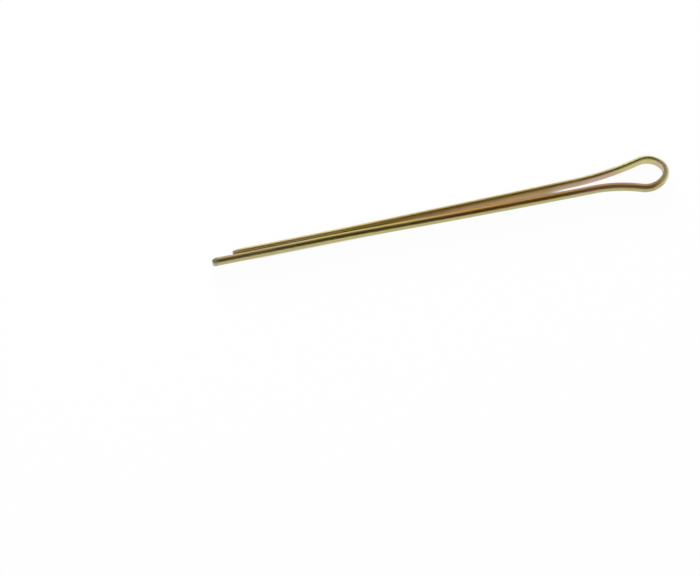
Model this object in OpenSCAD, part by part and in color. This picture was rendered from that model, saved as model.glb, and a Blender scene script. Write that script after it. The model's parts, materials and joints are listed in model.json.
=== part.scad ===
// Split cotter pin of half-round wire, lying on its side.
// The wire is bent once into an eye. Its two flat faces lie together along the
// closed legs, so that the pair makes a round shank, and one leg is longer.
// X runs from the eye to the tips, Z is up, and the pin lies on z = 0 with the
// origin under the middle of its outline. The path that is bent below is the
// middle line of the wire's flat face.

/* [Wire] */
// Diameter of the shank that the two closed legs make
shank_d = 2.6; // [2.2:0.05:3]
// Rounding of the two edges beside the flat face
edge_r = 0.1; // [0.06:0.02:0.3]

/* [Length] */
// Overall length, from the eye's crown to the long leg's tip
pin_len = 94.6; // [88:0.2:120]
// How far the short leg's tip stays behind the long one's
tip_step = 4.4; // [2:0.1:8]

/* [Eye] */
// Inside radius of the crown, the end of the eye
crown_r = 1.8; // [1.4:0.1:2.4]

/* [Legs] */
// Gap between the flat faces where the legs are closed
leg_gap = 0.1; // [0.06:0.02:0.3]
// Radius of the bend that brings each leg parallel to the shank
close_r = 370; // [200:10:500]

/* [Long leg] */
// How far the crown turns on this side, in degrees
long_crown = 38; // [20:1:45]
// Inside radius of the eye's shoulder
long_shoulder_r = 4; // [3:0.1:4.6]
// Slope of the flank where the eye turns into the neck, in degrees
long_flank = 19.5; // [15:0.5:25]
// Slope where the neck runs into the leg, in degrees
long_ease = 0.1; // [0.05:0.05:0.5]
// Length of the slightly bowed run from the neck to the closing bend
long_run = 46; // [36:1:52]
// Slope at the end of that run, in degrees
long_close = 1.25; // [1:0.05:1.8]

/* [Short leg] */
// How far the crown turns on this side, in degrees
short_crown = 36; // [30:1:55]
// Inside radius of the eye's shoulder
short_shoulder_r = 3.85; // [3.2:0.05:4.8]
// Slope of the flank where the eye turns into the neck, in degrees
short_flank = 14; // [11:0.5:19]
// Slope where the neck runs into the leg, in degrees
short_ease = 1.1; // [0.9:0.05:1.4]
// Length of the slightly bowed run from the neck to the closing bend
short_run = 51.5; // [40:0.5:56]
// Slope at the end of that run, in degrees
short_close = 0.3; // [0.1:0.05:0.5]

/* [Tips] */
// Width of the blunt land at each sheared tip
tip_land = 0.2; // [0.1:0.02:0.4]
// Distance from the flat face to the middle of the land
tip_from_flat = 0.45; // [0.3:0.05:0.7]
// Bevel on the flat side of both tips, in degrees from the leg
inner_bevel = 24; // [20:1:45]
// Bevel on the round side of the long leg's tip, in degrees from the leg
long_bevel = 58; // [20:1:70]
// Bevel on the round side of the short leg's tip, in degrees from the leg
short_bevel = 22; // [20:1:50]

/* [Hidden] */

// Radius of the round shank, of which each leg makes one half
wire_r = shank_d / 2;
// Path height where a leg is closed
closed_y = leg_gap / 2;
// Thickness of the wire from its flat face to its round back
wire_t = wire_r - closed_y;
// Height of the rounded edges' centres from the middle of the flat face
edge_y = sqrt(pow(wire_r - edge_r, 2) - pow(edge_r + closed_y, 2));
// Height of the shank's axis over the surface that the pin lies on
axis_z = edge_y + edge_r;
// Flats that a drawn circle or bend is made of
arc_flats = 96;
edge_flats = 32;
bend_flats = 24;

// Reach of the path from the axis to each side of the eye
long_reach = eye_reach(long_crown, long_shoulder_r);
short_reach = eye_reach(short_crown, short_shoulder_r);
// The crown's centre, seen from the middle of the outline
crown_x = wire_t + crown_r - pin_len / 2;
crown_y = (short_reach - long_reach) / 2;
// The tips, seen from the crown's centre
long_tip_x = pin_len - wire_t - crown_r;
short_tip_x = long_tip_x - tip_step;

// Widest point of the path on one side of the eye
function eye_reach(crown, shoulder_r) =
    crown_r * sin(crown) + shoulder_r * (1 - sin(crown));

// Radii and places are kept to whole hundredths where a hundredth does no harm
function hundredth(v) = round(v * 100) / 100;

// Where a bend that starts at p ends, when the heading goes from h0 to h1.
// A falling heading turns to the right, a rising one to the left.
function bend_end(p, h0, h1, r) =
    p + (h1 < h0 ? r : -r) * [sin(h0) - sin(h1), cos(h1) - cos(h0)];

// A place in the plane, reached by a whole-hundredth step and the small rest,
// so that neighbouring bends meet face to face
module place(p) {
    whole = [hundredth(p.x), hundredth(p.y)];
    translate([whole.x, whole.y, 0])
        translate([p.x - whole.x, p.y - whole.y, 0]) children();
}

// Half-round section with its flat face on the line x = 0. The round back, which
// faces +x where side is 1 and -x where it is -1, is centred on the closed
// shank's axis, half the legs' gap behind the flat face.
module wire_section(side) {
    edges = [for (end = [-1, 1]) [side * edge_r, end * edge_y]];
    // The back spans the fan between the lines from the axis past the edges' centres
    back_turn = atan2(edge_y, edge_r + closed_y);
    fan = [for (part = [-1, -0.5, 0, 0.5, 1])
        [side * (shank_d * cos(part * back_turn) - closed_y), shank_d * sin(part * back_turn)]];
    translate([0, axis_z]) {
        intersection() {
            translate([-side * closed_y, 0]) circle(wire_r, $fn = arc_flats);
            polygon(concat([edges[0]], fan, [edges[1]]));
        }
        translate([min(0, side * edge_r), -edge_y]) square([edge_r, 2 * edge_y]);
        for (edge = edges)
            translate(edge) circle(edge_r, $fn = edge_flats);
    }
}

// One bend of the wire, from the path point p and heading h0 to the heading h1.
// Turning right keeps the flat face inside the bend, turning left outside it.
module bend(p, h0, h1, r) {
    side = h1 < h0 ? 1 : -1;
    sweep = abs(h1 - h0);
    place(p + side * r * [sin(h0), -cos(h0)])
        rotate_extrude(angle = sweep, start = min(h0, h1) + side * 90, $fn = ceil(bend_flats * 360 / sweep))
            translate([r, 0]) wire_section(side);
}

// Straight end of a leg from the path point p, sheared to a chisel tip
module leg_end(p, tip_x, bevel) {
    spare = shank_d;
    tip_y = closed_y + tip_from_flat;
    difference() {
        place(p) rotate([90, 0, 90]) linear_extrude(tip_x + spare - p.x) wire_section(1);
        translate([0, 0, -spare]) linear_extrude(shank_d + 2 * spare) polygon([
            [tip_x, tip_y - tip_land / 2],
            [tip_x, tip_y + tip_land / 2],
            [tip_x - shank_d / tan(bevel), tip_y + tip_land / 2 + shank_d],
            [tip_x + 2 * spare, tip_y + tip_land / 2 + shank_d],
            [tip_x + 2 * spare, tip_y - tip_land / 2 - wire_r],
            [tip_x - wire_r / tan(inner_bevel), tip_y - tip_land / 2 - wire_r]
        ]);
    }
}

// One leg on the +Y side, from the crown round the shoulder to the tip.
// The neck's radius is what brings the leg down to its closed place.
module leg(crown, shoulder_r, flank, ease, run, close, tip_x, bevel) {
    run_r = hundredth(run / abs(sin(close) - sin(ease)));
    run_drop = run_r * abs(cos(close) - cos(ease));
    close_drop = close_r * (1 - cos(close));
    shoulder = crown_r * [-cos(crown), sin(crown)];
    neck = bend_end(shoulder, 90 - crown, -flank, shoulder_r);
    neck_drop = neck.y - run_drop - close_drop - closed_y;
    neck_r = hundredth(neck_drop / (cos(ease) - cos(flank)));
    run_start = bend_end(neck, -flank, -ease, neck_r);
    run_end = bend_end(run_start, -ease, -close, run_r);
    closed = bend_end(run_end, -close, 0, close_r);
    bend(shoulder, 90 - crown, -flank, shoulder_r);
    bend(neck, -flank, -ease, neck_r);
    bend(run_start, -ease, -close, run_r);
    bend(run_end, -close, 0, close_r);
    leg_end(closed, tip_x, bevel);
}

module crown() {
    sweep = long_crown + short_crown;
    rotate_extrude(angle = sweep, start = 180 - long_crown, $fn = ceil(bend_flats * 360 / sweep))
        translate([crown_r, 0]) wire_section(1);
}

module cotter_pin() {
    color([0.53, 0.46, 0.27]) translate([crown_x, crown_y, 0]) {
        crown();
        leg(long_crown, long_shoulder_r, long_flank, long_ease, long_run, long_close, long_tip_x, long_bevel);
        mirror([0, 1, 0])
            leg(short_crown, short_shoulder_r, short_flank, short_ease, short_run, short_close, short_tip_x,
                short_bevel);
    }
}

cotter_pin();
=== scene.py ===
import json
import math

import bmesh
import bpy
import numpy as np
from bpy.props import FloatProperty, FloatVectorProperty, PointerProperty
from bpy.types import Operator, Panel, PropertyGroup
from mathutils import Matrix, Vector


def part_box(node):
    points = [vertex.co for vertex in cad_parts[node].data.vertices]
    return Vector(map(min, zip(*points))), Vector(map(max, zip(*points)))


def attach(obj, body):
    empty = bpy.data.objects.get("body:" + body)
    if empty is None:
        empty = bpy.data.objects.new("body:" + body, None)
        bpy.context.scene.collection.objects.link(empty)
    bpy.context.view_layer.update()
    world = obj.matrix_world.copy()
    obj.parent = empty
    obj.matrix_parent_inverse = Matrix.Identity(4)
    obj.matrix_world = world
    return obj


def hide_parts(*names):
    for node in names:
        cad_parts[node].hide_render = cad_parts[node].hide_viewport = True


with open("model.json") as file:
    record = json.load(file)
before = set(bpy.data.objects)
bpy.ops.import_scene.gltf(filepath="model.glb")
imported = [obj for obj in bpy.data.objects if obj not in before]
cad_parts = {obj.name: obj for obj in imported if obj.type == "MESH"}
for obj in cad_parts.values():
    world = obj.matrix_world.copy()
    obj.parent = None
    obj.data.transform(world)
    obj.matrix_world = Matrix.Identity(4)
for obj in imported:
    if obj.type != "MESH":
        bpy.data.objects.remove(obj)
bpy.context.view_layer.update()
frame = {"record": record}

bl_info = {
    "name": "Cotter pin",
    "version": (1, 0, 0),
    "blender": (4, 5, 0),
    "location": "3D View > Sidebar > Cotter pin",
    "description": "A split cotter pin bent from plated half-round wire, on a white table",
    "category": "Object",
}

NODE = "cotter_pin"
SHANK = next(mount for mount in frame["record"]["mounts"] if mount["name"] == "shank")
BOX_LOW, BOX_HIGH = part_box(NODE)

# Places and grains in the materials are in millimetres, everything else is in metres
PER_MM = 1000.0

# Most that the wire turns, and runs on, from one ring of points to the next
RING_TURN = math.radians(2.5)
RING_STEP = 0.0006
# Points round the wire's section: on its back, on each edge and on its flat face
BACK_POINTS = 36
EDGE_POINTS = 9
FLAT_POINTS = 8
# Wire that is swept past each tip before the tip is sheared
SPARE = 0.003
# Length of leg that the shears can reach
SHEARED_REACH = 0.008
# Edges that turn by more than this are rounded like a burr
BURR_TURN = math.radians(20)


# ---------------------------------------------------------------- sizes

def length(name, description, default):
    return FloatProperty(name=name, description=description, default=default,
                         min=0.0, unit="LENGTH", precision=5)


def angle(name, description, degrees):
    return FloatProperty(name=name, description=description, default=math.radians(degrees), subtype="ANGLE")


def pixels(name, description, default):
    return FloatProperty(name=name, description=description, default=default, subtype="PIXEL")


def colour(name, description, default):
    return FloatVectorProperty(name=name, description=description, default=default, size=3,
                               min=0.0, max=1.0, subtype="COLOR")


class LongLegSizes(PropertyGroup):
    crown: angle("Crown", "How far the crown turns on this side", 38)
    shoulder: length("Shoulder", "Inside radius of the eye's shoulder", 0.004)
    flank: angle("Flank", "Slope of the flank where the eye turns into the neck", 19.5)
    ease: angle("Ease", "Slope where the neck runs into the leg", 0.1)
    run: length("Run", "Length of the slightly bowed run from the neck to the closing bend", 0.046)
    close: angle("Close", "Slope at the end of the run", 1.25)
    bevel: angle("Bevel", "Bevel on the round side of the tip", 58)


class ShortLegSizes(PropertyGroup):
    crown: angle("Crown", "How far the crown turns on this side", 36)
    shoulder: length("Shoulder", "Inside radius of the eye's shoulder", 0.00385)
    flank: angle("Flank", "Slope of the flank where the eye turns into the neck", 14)
    ease: angle("Ease", "Slope where the neck runs into the leg", 1.1)
    run: length("Run", "Length of the slightly bowed run from the neck to the closing bend", 0.0515)
    close: angle("Close", "Slope at the end of the run", 0.3)
    bevel: angle("Bevel", "Bevel on the round side of the tip", 22)


class PinSizes(PropertyGroup):
    shank: length("Shank", "Diameter of the shank that the closed legs make",
                  2 * SHANK["dims"]["r_mm"] / PER_MM)
    edge: length("Edge", "Rounding of the two edges beside the flat face", 0.0001)
    overall: length("Length", "Overall length of the pin", BOX_HIGH.x - BOX_LOW.x)
    tip_step: length("Tip step", "How far the short leg's tip stays behind the long one's", 0.0044)
    crown: length("Crown", "Inside radius of the crown, the end of the eye", 0.0018)
    gap: length("Gap", "Gap between the flat faces where the legs are closed", 0.0001)
    closing: length("Closing bend", "Radius of the bend that brings each leg parallel to the shank", 0.37)
    land: length("Land", "Width of the blunt land at each sheared tip", 0.0002)
    land_out: length("Land height", "Distance from the flat face to the middle of the land", 0.00045)
    flat_bevel: angle("Flat bevel", "Bevel on the flat side of both tips", 24)
    burr: length("Burr rounding", "Rounding of the sheared edges", 0.00003)


class FinishColours(PropertyGroup):
    gold: colour("Gold", "Plating on the closed legs, where its film is thin", (0.95, 0.74, 0.31))
    brass: colour("Brass", "Deeper yellow plating where the legs close", (0.95, 0.74, 0.22))
    ash: colour("Ash", "Pale, nearly grey plating on the crown", (0.86, 0.70, 0.42))
    olive: colour("Olive", "Greenish plating on the short leg's side of the eye", (0.88, 0.82, 0.33))
    pearl: colour("Pearl", "Pinkish plating on the flat of the short leg's neck", (0.83, 0.61, 0.48))
    fog: colour("Fog", "Grey plating on the flat where the short leg's neck runs out", (0.71, 0.62, 0.44))
    straw: colour("Straw", "Pale plating on the short leg's neck", (0.73, 0.55, 0.22))
    rose: colour("Rose", "Pinkish plating on the long leg's side of the eye and neck", (0.97, 0.55, 0.25))
    copper: colour("Copper", "Reddish plating along the long leg's open run", (0.95, 0.50, 0.12))
    # Citron is partly the film's own tint and partly a painted sheen, which the film shows low on the round
    # back
    citron: colour("Citron", "Thin greenish yellow plating low on the wire's round back", (0.89, 0.90, 0.42))
    bronze: colour("Bronze", "Dark, thickest plating along the short leg's open run", (0.62, 0.44, 0.10))
    steel: colour("Steel", "Bare metal on the sheared tips", (0.74, 0.70, 0.63))


class StageSizes(PropertyGroup):
    azimuth: angle("Azimuth", "Direction of the camera round the pin", 167.95)
    elevation: angle("Elevation", "Height of the camera over the table, as an angle", 70)
    view_angle: angle("View angle", "Angle that the camera sees across", 12)
    pixel: length("Pixel", "Size of one pixel of the frame at the pin", 0.000202)
    middle_x: pixels("Middle X", "Pixel column of the pin's middle in the frame", 441.5)
    middle_y: pixels("Middle Y", "Pixel row of the pin's middle in the frame", 214.6)
    table: length("Table", "Radius of the table top", 1.5)
    lamp_place: FloatVectorProperty(name="Lamp place", description="Middle of the lamp across the table",
                                    default=(0.05, -0.55, 0.20), size=3, subtype="TRANSLATION", unit="LENGTH")
    lamp_size: length("Lamp size", "Diameter of the lamp", 0.30)
    lamp_power: FloatProperty(name="Lamp power", description="Power of the lamp", default=6.3,
                              min=0.0, unit="POWER")


# ---------------------------------------------------------------- shading

class Value:
    """A number, colour or vector in a material: it wraps a node's socket, and sums on it add Math nodes."""

    def __init__(self, shading, socket):
        self.shading = shading
        self.socket = socket

    def __add__(self, other):
        return self.shading.maths("ADD", self, other)

    __radd__ = __add__

    def __sub__(self, other):
        return self.shading.maths("SUBTRACT", self, other)

    def __rsub__(self, other):
        return self.shading.maths("SUBTRACT", other, self)

    def __mul__(self, other):
        return self.shading.maths("MULTIPLY", self, other)

    __rmul__ = __mul__


class Shading:
    """The nodes of one material or of the world."""

    def __init__(self, owner):
        owner.use_nodes = True
        self.tree = owner.node_tree
        self.tree.nodes.clear()

    def node(self, kind, settings=None, sockets=None, output=0):
        """Adds a node, sets it up, gives its sockets their values or links and returns one of its outputs."""
        made = self.tree.nodes.new(kind)
        for name, setting in (settings or {}).items():
            if name == "stops":
                self.set_stops(made.color_ramp, setting)
            else:
                setattr(made, name, setting)
        for name, given in (sockets or {}).items():
            if isinstance(given, Value):
                self.tree.links.new(given.socket, made.inputs[name])
            else:
                made.inputs[name].default_value = given
        return Value(self, made.outputs[output]) if made.outputs else None

    @staticmethod
    def set_stops(ramp, stops):
        while len(ramp.elements) < len(stops):
            ramp.elements.new(1.0)
        for element, (position, tone) in zip(ramp.elements, stops):
            element.position = position
            element.color = (*tone, 1.0)

    @staticmethod
    def opaque(tone):
        return tone if isinstance(tone, Value) else (*tone, 1.0)

    def maths(self, operation, *values):
        return self.node("ShaderNodeMath", {"operation": operation}, dict(enumerate(values)))

    def axes(self, vector, names):
        """The named parts, X, Y or Z, of a vector."""
        return [self.node("ShaderNodeSeparateXYZ", None, {"Vector": vector}, output=name) for name in names]

    def mix(self, share, first, second):
        """One colour turning into another."""
        return self.node("ShaderNodeMix", {"data_type": "RGBA", "clamp_factor": True},
                         {"Factor": share, 6: self.opaque(first), 7: self.opaque(second)}, output=2)

    def span(self, value, low, high, to_low=0.0, to_high=1.0):
        """The value's range low to high, carried smoothly to the other range."""
        return self.node("ShaderNodeMapRange", {"interpolation_type": "SMOOTHSTEP"}, {
            "Value": value, "From Min": low, "From Max": high, "To Min": to_low, "To Max": to_high,
        })

    def zone(self, value, start, full, fade, end):
        """1 while the value is between full and fade, and smoothly down to 0 at start and at end."""
        return self.span(value, start, full) * self.span(value, end, fade)

    def unbent(self):
        """The place on the straight wire in millimetres: along it, out from its flat face, and up."""
        return self.node("ShaderNodeAttribute", {"attribute_name": "unbent"}, output="Vector")

    def stretched_noise(self, place, grains, detail=2.0, roughness=0.5, distortion=0.0):
        """Noise with the given number of grains per millimetre along, out and up."""
        scaled = self.node("ShaderNodeVectorMath", {"operation": "MULTIPLY"}, {0: place, 1: grains})
        return self.node("ShaderNodeTexNoise", {"noise_dimensions": "3D"}, {
            "Vector": scaled, "Scale": 1.0,
            "Detail": detail, "Roughness": roughness, "Distortion": distortion,
        })

    def bump(self, height, strength, depth):
        """The surface's direction, roughened by a relief of the given depth in metres."""
        return self.node("ShaderNodeBump", None, {"Height": height, "Strength": strength, "Distance": depth})

    def metal(self, sockets):
        """The metal's own shader with the given sockets, and the output."""
        surface = self.node("ShaderNodeBsdfPrincipled", None, {"Metallic": 1.0, **sockets})
        self.node("ShaderNodeOutputMaterial", None, {"Surface": surface})


# ---------------------------------------------------------------- finishes

# Zones of the straight wire, in millimetres from the crown's middle and negative on the short leg. Each
# begins at its first number, is full between the two in the middle and has faded at its last.
CROWN = (-4.5, -1.5, 1.0, 3.5)
SHORT_EYE = (-1.0, -3.5, -9.0, -16.0)
SHORT_NECK = (-8.0, -14.0, -23.0, -31.0)
PINKISH_FLAT = (-9.5, -12.5, -17.0, -20.5)
GREY_FLAT = (-17.0, -20.5, -23.0, -26.0)
SHORT_RUN = (-17.0, -27.0, -48.0, -72.0)
LONG_BEND = (-2.0, 3.0, 10.0, 17.0)
LONG_EYE = (1.5, 4.5, 20.0, 31.0)
LONG_RUN = (19.0, 25.0, 39.0, 57.0)
# The same on both legs, where they close
CLOSING = (48.0, 58.0, 70.0, 78.0)
# Where the scuffs of the shears begin, and where they are full
LONG_SCUFF = (93.8, 94.6)
SHORT_SCUFF = (-89.0, -90.4)
# Distance from the flat face where its own finish begins, and where it is full
FLAT_FACE = (0.06, 0.01)
# Where the greenish tint low on the back, partly the film's own and partly painted sheen, begins and is full:
# height over the wire's middle, and out from the flat face
LOW_SHEEN_HEIGHT = (1.1, 0.3)
LOW_SHEEN_BACK = (0.3, 0.9)


def plated_wire(colours):
    """Zinc plating with a yellow passive film on drawn wire: olive gold, turning bronze, with soft bands."""
    material = bpy.data.materials.new("plated_wire")
    shading = Shading(material)
    unbent = shading.unbent()
    along, from_flat, height = shading.axes(unbent, "XYZ")
    film = shading.stretched_noise(unbent, (0.10, 0.35, 0.35), detail=3.0)
    mottle = shading.stretched_noise(unbent, (0.22, 0.8, 0.8), distortion=0.4)
    drawn = shading.stretched_noise(unbent, (0.15, 16.0, 16.0), detail=3.0, roughness=0.6)
    grain = shading.stretched_noise(unbent, (9.0, 12.0, 12.0), detail=3.0)

    long_eye = shading.zone(along, *LONG_EYE)
    long_run = shading.zone(along, *LONG_RUN)
    short_run = shading.zone(along, *SHORT_RUN)
    closing = shading.zone(shading.maths("ABSOLUTE", along), *CLOSING)
    flat = shading.span(from_flat, *FLAT_FACE)
    # Painted sheen, partly the film's own tint: greenish low on the round back, stronger on the long leg
    low_sheen = shading.span(height, *LOW_SHEEN_HEIGHT) * shading.span(from_flat, *LOW_SHEEN_BACK)
    low_sheen_share = 0.65 + 0.3 * long_run + 0.3 * long_eye - 0.3 * short_run
    # The shears dragged the plating off beside each cut
    scuffed = (shading.span(along + 0.6 * mottle, *LONG_SCUFF)
               + shading.span(along - 0.9 * mottle, *SHORT_SCUFF))
    # The film's thickness, and so its tint, changes from the crown to each tip and drifts on the open runs
    drifting = 1 + 0.5 * (film - 0.5)
    tone = colours.gold
    for share, tint in (
        (closing, colours.brass),
        (shading.zone(along, *SHORT_EYE), colours.olive),
        (shading.zone(along, *SHORT_NECK), colours.straw),
        (0.8 * flat * shading.zone(along, *PINKISH_FLAT), colours.pearl),
        (long_eye + 0.4 * shading.span(mottle, 0.42, 0.28), colours.rose),
        (shading.zone(along, *CROWN), colours.ash),
        (drifting * long_run, colours.copper),
        (drifting * short_run, colours.bronze),
        (0.8 * flat * shading.zone(along, *GREY_FLAT), colours.fog),
        (low_sheen_share * low_sheen, colours.citron),
        (0.8 * scuffed, colours.steel),
    ):
        tone = shading.mix(share, tone, tint)
    # The back was drawn smooth. The flat was rolled and is duller, as the long leg's bend and the scuffs are.
    streaks = shading.span(0.5 * drawn + 0.5 * film, 0.35, 0.65, 0.32, 0.42)
    bent = shading.zone(along, *LONG_BEND)
    shading.metal({
        "Base Color": tone,
        "Roughness": streaks + 0.14 * flat + 0.08 * bent + 0.2 * scuffed,
        "Coat Weight": 0.4,
        "Coat Roughness": 0.2,
        "Normal": shading.bump(0.6 * drawn + 0.4 * grain, 0.15, 0.00001),
    })
    return material


def sheared_steel(colours):
    """The bare, finely torn metal of the sheared tips."""
    material = bpy.data.materials.new("sheared_steel")
    shading = Shading(material)
    torn = shading.stretched_noise(shading.unbent(), (4.0, 4.0, 22.0), detail=4.0, roughness=0.6)
    shade = tuple(0.75 * part for part in colours.steel)
    shading.metal({
        "Base Color": shading.mix(torn, shade, colours.steel),
        "Roughness": shading.span(torn, 0.3, 0.7, 0.6, 0.75),
        "Normal": shading.bump(torn, 0.4, 0.00004),
    })
    return material


# ---------------------------------------------------------------- the wire

class Wire:
    """The bent wire's path and section, from the pin's sizes."""

    def __init__(self, pin, long_leg, short_leg):
        self.pin = pin
        self.radius = pin.shank / 2
        self.closed_y = pin.gap / 2
        self.thickness = self.radius - self.closed_y
        # Distance of the rounded edges' centres from the middle of the flat face
        self.edge_y = math.sqrt((self.radius - pin.edge) ** 2 - (pin.edge + self.closed_y) ** 2)
        self.axis_z = self.edge_y + pin.edge
        # The path's own places are measured from the crown's centre
        self.long_tip_x = pin.overall - self.thickness - pin.crown
        self.short_tip_x = self.long_tip_x - pin.tip_step
        self.crown_centre = Vector((
            BOX_LOW.x + self.thickness + pin.crown,
            (self.eye_reach(short_leg) - self.eye_reach(long_leg)) / 2,
            self.axis_z,
        ))

    def eye_reach(self, leg):
        """Widest point of the path on one side of the eye."""
        return self.pin.crown * math.sin(leg.crown) + leg.shoulder * (1 - math.sin(leg.crown))

    def bends(self, leg):
        """Heading at the start, heading at the end and radius of each bend, from crown to closed leg."""
        pin = self.pin
        run_radius = leg.run / abs(math.sin(leg.close) - math.sin(leg.ease))
        run_drop = run_radius * abs(math.cos(leg.close) - math.cos(leg.ease))
        close_drop = pin.closing * (1 - math.cos(leg.close))
        neck_y = pin.crown * math.sin(leg.crown) + leg.shoulder * (math.cos(leg.flank) - math.sin(leg.crown))
        neck_drop = neck_y - run_drop - close_drop - self.closed_y
        neck_radius = neck_drop / (math.cos(leg.ease) - math.cos(leg.flank))
        quarter = math.pi / 2
        return [
            (quarter, quarter - leg.crown, pin.crown),
            (quarter - leg.crown, -leg.flank, leg.shoulder),
            (-leg.flank, -leg.ease, neck_radius),
            (-leg.ease, -leg.close, run_radius),
            (-leg.close, 0.0, pin.closing),
        ]

    def leg_path(self, leg, tip_x):
        """Rings along one leg as rows of x, y, heading and distance.

        They run from the first ring after the crown's middle to past the tip.
        """
        x, y, distance = -self.pin.crown, 0.0, 0.0
        rows = []
        for start, end, radius in self.bends(leg):
            turn = abs(end - start)
            steps = math.ceil(max(turn / RING_TURN, turn * radius / RING_STEP))
            side = 1 if end < start else -1
            for step in range(1, steps + 1):
                heading = start + (end - start) * step / steps
                rows.append((
                    x + side * radius * (math.sin(start) - math.sin(heading)),
                    y + side * radius * (math.cos(heading) - math.cos(start)),
                    heading,
                    distance + radius * turn * step / steps,
                ))
            x, y, _, distance = rows[-1]
        steps = math.ceil((tip_x + SPARE - x) / RING_STEP)
        for step in range(1, steps + 1):
            ahead = (tip_x + SPARE - x) * step / steps
            rows.append((x + ahead, y, 0.0, distance + ahead))
        return np.array(rows)

    def path(self, long_leg, short_leg):
        """Rings of the whole wire from the short tip round the eye to the long tip.

        Returns their points, the directions out of the flat face into the round back, and the distances
        along the wire, which are 0 at the crown's middle and negative on the short leg.
        """
        ahead = self.leg_path(long_leg, self.long_tip_x)
        behind = self.leg_path(short_leg, self.short_tip_x)[::-1]
        points = np.concatenate([
            behind[:, :2] * (1, -1),
            [(-self.pin.crown, 0.0)],
            ahead[:, :2],
        ])
        outward = np.concatenate([
            np.stack([-np.sin(behind[:, 2]), -np.cos(behind[:, 2])], axis=1),
            [(-1.0, 0.0)],
            np.stack([-np.sin(ahead[:, 2]), np.cos(ahead[:, 2])], axis=1),
        ])
        distances = np.concatenate([-behind[:, 3], [0.0], ahead[:, 3]])
        return points, outward, distances

    def section(self):
        """Points round the half-round section: distance from the flat face, height over the wire's middle."""
        back_turn = math.atan2(self.edge_y, self.pin.edge + self.closed_y)
        back = np.linspace(-back_turn, back_turn, BACK_POINTS)
        low_edge = np.linspace(-math.pi, -back_turn, EDGE_POINTS)[:-1]
        high_edge = np.linspace(back_turn, math.pi, EDGE_POINTS)[1:]
        flat = np.linspace(self.edge_y, -self.edge_y, FLAT_POINTS)[1:-1]
        edge = self.pin.edge
        return np.concatenate([
            np.stack([edge + edge * np.cos(low_edge), edge * np.sin(low_edge) - self.edge_y], axis=1),
            np.stack([self.radius * np.cos(back) - self.closed_y, self.radius * np.sin(back)], axis=1),
            np.stack([edge + edge * np.cos(high_edge), edge * np.sin(high_edge) + self.edge_y], axis=1),
            np.stack([np.zeros(len(flat)), flat], axis=1),
        ])

    def sweep(self, long_leg, short_leg):
        """The wire's mesh, open at both ends, with each point's place on the straight wire in millimetres."""
        points, outward, distances = self.path(long_leg, short_leg)
        section = self.section()
        rings, around = len(points), len(section)
        corners = np.zeros((rings, around, 3))
        corners[:, :, :2] = points[:, None] + outward[:, None] * section[None, :, :1]
        corners[:, :, 2] = section[None, :, 1]
        corners += np.array(self.crown_centre)
        unbent = np.zeros((rings, around, 3))
        unbent[:, :, 0] = distances[:, None]
        unbent[:, :, 1:] = section[None]
        first = np.arange(rings - 1)[:, None] * around
        here = np.arange(around)[None]
        beside = (here + 1) % around
        second = first + around
        faces = np.stack([first + here, first + beside, second + beside, second + here], axis=-1)
        mesh = bpy.data.meshes.new("cotter_pin_wire")
        mesh.from_pydata(corners.reshape(-1, 3).tolist(), [], faces.reshape(-1, 4).tolist())
        mesh.attributes.new("unbent", "FLOAT_VECTOR", "POINT")
        mesh.attributes["unbent"].data.foreach_set("vector", (unbent * PER_MM).ravel())
        return mesh

    def shears(self, leg, tip_x, side):
        """Point and outward direction of the three cuts that shape one tip. side is -1 on the short leg."""
        land_y = self.closed_y + self.pin.land_out
        half = self.pin.land / 2
        cuts = [
            (land_y, (1.0, 0.0)),
            (land_y - half, (math.sin(self.pin.flat_bevel), -math.cos(self.pin.flat_bevel))),
            (land_y + half, (math.sin(leg.bevel), math.cos(leg.bevel))),
        ]
        for y, (forward, across) in cuts:
            yield self.crown_centre + Vector((tip_x, side * y, 0.0)), Vector((forward, side * across, 0.0))


def shear_tip(mesh, cuts, side):
    """Cuts one end of the wire with the given planes and closes each cut with a face of bare metal."""
    work = bmesh.new()
    work.from_mesh(mesh)
    unbent = work.verts.layers.float_vector["unbent"]
    end = max(side * vert[unbent].x for vert in work.verts)
    reach = end - SHEARED_REACH * PER_MM
    for point, direction in cuts:
        faces = [face for face in work.faces if all(side * vert[unbent].x > reach for vert in face.verts)]
        # Each once and in a fixed order, so that every run gives the same mesh
        edges = dict.fromkeys(edge for face in faces for edge in face.edges)
        verts = dict.fromkeys(vert for face in faces for vert in face.verts)
        cut = bmesh.ops.bisect_plane(work, geom=[*verts, *edges, *faces], plane_co=point, plane_no=direction,
                                     clear_outer=True)
        rim = [element for element in cut["geom_cut"] if isinstance(element, bmesh.types.BMEdge)]
        filled = bmesh.ops.edgeloop_fill(work, edges=rim, mat_nr=1)
        if not filled["faces"]:
            raise RuntimeError("a shear doesn't cut right through the wire")
    bmesh.ops.recalc_face_normals(work, faces=work.faces)
    for face in work.faces:
        face.smooth = face.material_index == 0
    work.to_mesh(mesh)
    work.free()


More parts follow.
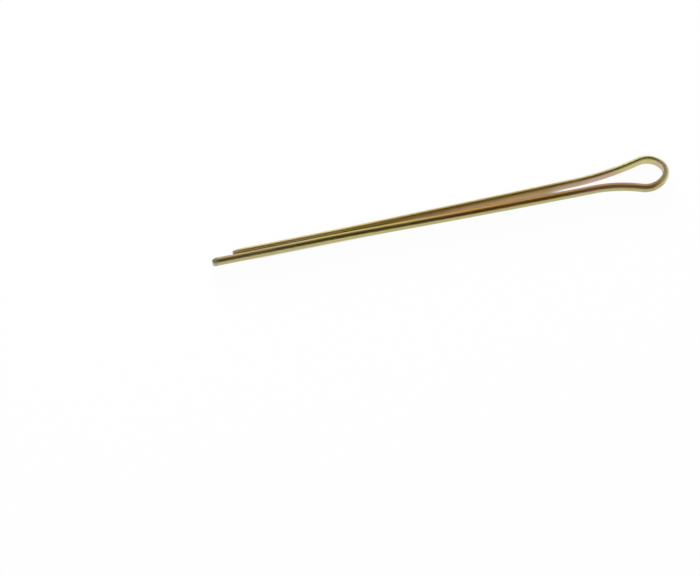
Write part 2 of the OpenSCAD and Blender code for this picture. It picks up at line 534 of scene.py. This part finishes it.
class COTTER_OT_wire(Operator):
    """Bends the plated wire into the pin and shears its two tips"""

    bl_idname = "cotter.wire"
    bl_label = "Bend the wire"

    def execute(self, context):
        sizes = context.scene.cotter_pin
        long_leg, short_leg = context.scene.cotter_long_leg, context.scene.cotter_short_leg
        wire = Wire(sizes, long_leg, short_leg)
        mesh = wire.sweep(long_leg, short_leg)
        shear_tip(mesh, wire.shears(long_leg, wire.long_tip_x, 1), 1)
        shear_tip(mesh, wire.shears(short_leg, wire.short_tip_x, -1), -1)
        piece = bpy.data.objects.new("cotter_pin_wire", mesh)
        context.scene.collection.objects.link(piece)
        colours = context.scene.cotter_colours
        mesh.materials.append(plated_wire(colours))
        mesh.materials.append(sheared_steel(colours))
        burr = piece.modifiers.new("burr rounding", "BEVEL")
        burr.limit_method = "ANGLE"
        burr.angle_limit = BURR_TURN
        burr.width = sizes.burr
        burr.segments = 2
        burr.harden_normals = True
        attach(piece, "root")
        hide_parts(NODE)
        return {"FINISHED"}


# ---------------------------------------------------------------- stage

# Pixels of the frame that the camera is placed for
FRAME_WIDTH, FRAME_HEIGHT = 700, 576
# The background's white, and the even light of the room
WHITE = (1.0, 1.0, 1.0)
ROOM_LIGHT = (0.35, 0.35, 0.35)
# The table's paper in the open, and with painted warm light where the metal on both sides warms its light
OPEN_PAPER = (0.95, 0.95, 0.95)
PAINTED_WARM_PAPER = (0.95, 0.80, 0.55)
# Strip of table between the legs with painted shade, as little light reaches it, in millimetres:
# a zone along X, and the distances from the X axis where its painted shade has faded and where it is full
PAINTED_SHADE_STRIP = (-26.5, -22.0, 36.0, 42.0)
PAINTED_SHADE_SIDE = (1.2, 0.8)
# How near the wire has to be to hide the sky from the table
SKY_REACH = 0.01
# Direction of the middle of the softbox overhead, a little away from the camera
SOFTBOX = (0.0, -0.087, 0.996)
# Brightness of the softbox at each angle in degrees from its middle
SOFTBOX_FADE = ((0, 1.25), (5, 1.17), (10, 0.95), (15, 0.73), (20, 0.45), (25, 0.23), (35, 0.0))


def white_table(stage):
    """A white table top that keeps a faint shadow of the pin."""
    mesh = bpy.data.meshes.new("table")
    work = bmesh.new()
    bmesh.ops.create_circle(work, cap_ends=True, segments=96, radius=stage.table)
    work.to_mesh(mesh)
    work.free()
    mesh.materials.append(white_paper())
    table = bpy.data.objects.new("table", mesh)
    bpy.context.scene.collection.objects.link(table)


def white_paper():
    """Matt paper, plain white but for shade close to the wire, with painted shade, warm light and glow."""
    material = bpy.data.materials.new("white_table")
    shading = Shading(material)
    place = shading.node("ShaderNodeNewGeometry", output="Position")
    along, across = (part * PER_MM for part in shading.axes(place, "XY"))
    aside = shading.maths("ABSOLUTE", across)
    # Painted shade: a strip of table between the legs, set by its place on the table, is darkened and warmed
    painted_shade = shading.zone(along, *PAINTED_SHADE_STRIP) * shading.span(aside, *PAINTED_SHADE_SIDE)
    open_paper, painted_warm_paper = (shading.node("ShaderNodeBsdfDiffuse", None, {"Color": (*tone, 1.0)})
                                for tone in (OPEN_PAPER, PAINTED_WARM_PAPER))
    # Painted warm light: the paper turns warm in the strip of painted shade
    paper = shading.node("ShaderNodeMixShader", None, {0: painted_shade, 1: open_paper, 2: painted_warm_paper})
    glow = shading.node("ShaderNodeEmission", None, {"Color": (*WHITE, 1.0), "Strength": 1.0})
    seen = shading.node("ShaderNodeLightPath", output="Is Camera Ray")
    mirrored = shading.node("ShaderNodeLightPath", output="Is Glossy Ray")
    sky = shading.node("ShaderNodeAmbientOcclusion", {"samples": 16}, {"Distance": SKY_REACH}, output="AO")
    # The camera sees white wherever some sky reaches the paper, and less in the strip of painted shade. The
    # metal mirrors a painted white glow close beneath the wire, and the paper as it is lit further off.
    seen_glow = shading.span(sky, 0.06, 0.16, 0.0, 0.97) * (1 - 0.8 * painted_shade)
    painted_mirrored_glow = shading.span(sky, 0.86, 0.45, 0.12, 0.62)
    share = seen * seen_glow + mirrored * painted_mirrored_glow
    surface = shading.node("ShaderNodeMixShader", None, {0: share, 1: paper, 2: glow})
    shading.node("ShaderNodeOutputMaterial", None, {"Surface": surface})
    return material


def studio_world():
    """Even grey light, shown as white. The metal mirrors a softbox and three walls in a dark room instead."""
    world = bpy.data.worlds.new("studio")
    bpy.context.scene.world = world
    shading = Shading(world)
    direction = shading.node("ShaderNodeTexCoord", output="Generated")
    facing = shading.node("ShaderNodeVectorMath", {"operation": "DOT_PRODUCT"},
                          {0: direction, 1: SOFTBOX}, output="Value")
    # Right angles between this direction and the softbox's middle
    away = shading.maths("ARCCOSINE", facing) * (2 / math.pi)
    softbox = shading.node("ShaderNodeValToRGB", {
        "stops": [(degrees / 90, (bright, bright, bright)) for degrees, bright in SOFTBOX_FADE],
    }, {"Fac": away})
    # One wall behind the pin, and a dimmer one at its eye and at its tips
    eyewards, behind = (part * -1 for part in shading.axes(direction, "XY"))
    walls = (shading.span(behind, 0.94, 1.0) + 0.30 * shading.span(eyewards, 0.25, 0.80)
             + 0.45 * shading.span(eyewards, -0.35, -0.75))
    seen = shading.node("ShaderNodeLightPath", output="Is Camera Ray")
    mirrored = shading.node("ShaderNodeLightPath", output="Is Glossy Ray")
    tone = shading.mix(mirrored, shading.mix(seen, ROOM_LIGHT, WHITE), shading.mix(walls, softbox, WHITE))
    background = shading.node("ShaderNodeBackground", None, {"Color": tone, "Strength": 1.0})
    shading.node("ShaderNodeOutputWorld", None, {"Surface": background})


def soft_lamp(stage):
    """A large soft lamp across the table, which faces the pin and isn't mirrored by it."""
    light = bpy.data.lights.new("soft_lamp", "AREA")
    light.shape = "DISK"
    light.size = stage.lamp_size
    light.energy = stage.lamp_power
    lamp = bpy.data.objects.new("soft_lamp", light)
    lamp.location = stage.lamp_place
    lamp.visible_glossy = False
    lamp.rotation_euler = (-Vector(stage.lamp_place)).to_track_quat("-Z", "Y").to_euler()
    bpy.context.scene.collection.objects.link(lamp)


def table_camera(stage):
    """A long lens over the table, with the pin's middle at its place in the frame."""
    back = Vector((
        math.sin(stage.azimuth) * math.cos(stage.elevation),
        -math.cos(stage.azimuth) * math.cos(stage.elevation),
        math.sin(stage.elevation),
    ))
    turn = (-back).to_track_quat("-Z", "Y")
    right, up = turn @ Vector((1, 0, 0)), turn @ Vector((0, 1, 0))
    aside = (stage.middle_x - FRAME_WIDTH / 2) * stage.pixel
    below = (stage.middle_y - FRAME_HEIGHT / 2) * stage.pixel
    middle = Vector((0.0, 0.0, (BOX_LOW.z + BOX_HIGH.z) / 2))
    aim = middle - right * aside + up * below
    lens = bpy.data.cameras.new("camera")
    lens.angle = stage.view_angle
    lens.clip_start = 0.01
    lens.clip_end = 10.0
    camera = bpy.data.objects.new("camera", lens)
    camera.location = aim + back * (FRAME_WIDTH / 2 * stage.pixel / math.tan(stage.view_angle / 2))
    camera.rotation_mode = "QUATERNION"
    camera.rotation_quaternion = turn
    bpy.context.scene.collection.objects.link(camera)
    bpy.context.scene.camera = camera


class COTTER_OT_stage(Operator):
    """Sets the pin on a white table with soft light and a camera"""

    bl_idname = "cotter.stage"
    bl_label = "Set the stage"

    def execute(self, context):
        stage = context.scene.cotter_stage
        white_table(stage)
        studio_world()
        soft_lamp(stage)
        table_camera(stage)
        context.scene.view_settings.view_transform = "Standard"
        return {"FINISHED"}


# ---------------------------------------------------------------- add-on

class COTTER_PT_sidebar(Panel):
    """Sizes and colours of the pin, and the steps that make it"""

    bl_idname = "COTTER_PT_sidebar"
    bl_label = "Cotter pin"
    bl_space_type = "VIEW_3D"
    bl_region_type = "UI"
    bl_category = "Cotter pin"

    def draw(self, context):
        scene = context.scene
        for title, group in (
            ("Pin", scene.cotter_pin),
            ("Long leg", scene.cotter_long_leg),
            ("Short leg", scene.cotter_short_leg),
            ("Finish", scene.cotter_colours),
            ("Stage", scene.cotter_stage),
        ):
            box = self.layout.box()
            box.label(text=title)
            for name in group.__annotations__:
                box.prop(group, name)
        self.layout.operator(COTTER_OT_wire.bl_idname)
        self.layout.operator(COTTER_OT_stage.bl_idname)


GROUPS = {
    "cotter_pin": PinSizes,
    "cotter_long_leg": LongLegSizes,
    "cotter_short_leg": ShortLegSizes,
    "cotter_colours": FinishColours,
    "cotter_stage": StageSizes,
}
CLASSES = [*GROUPS.values(), COTTER_OT_wire, COTTER_OT_stage, COTTER_PT_sidebar]


def register():
    for made in CLASSES:
        bpy.utils.register_class(made)
    for name, group in GROUPS.items():
        setattr(bpy.types.Scene, name, PointerProperty(type=group))


def unregister():
    for name in GROUPS:
        delattr(bpy.types.Scene, name)
    for made in reversed(CLASSES):
        bpy.utils.unregister_class(made)


def main():
    register()
    bpy.ops.cotter.wire()
    bpy.ops.cotter.stage()


if __name__ == "__main__":
    main()
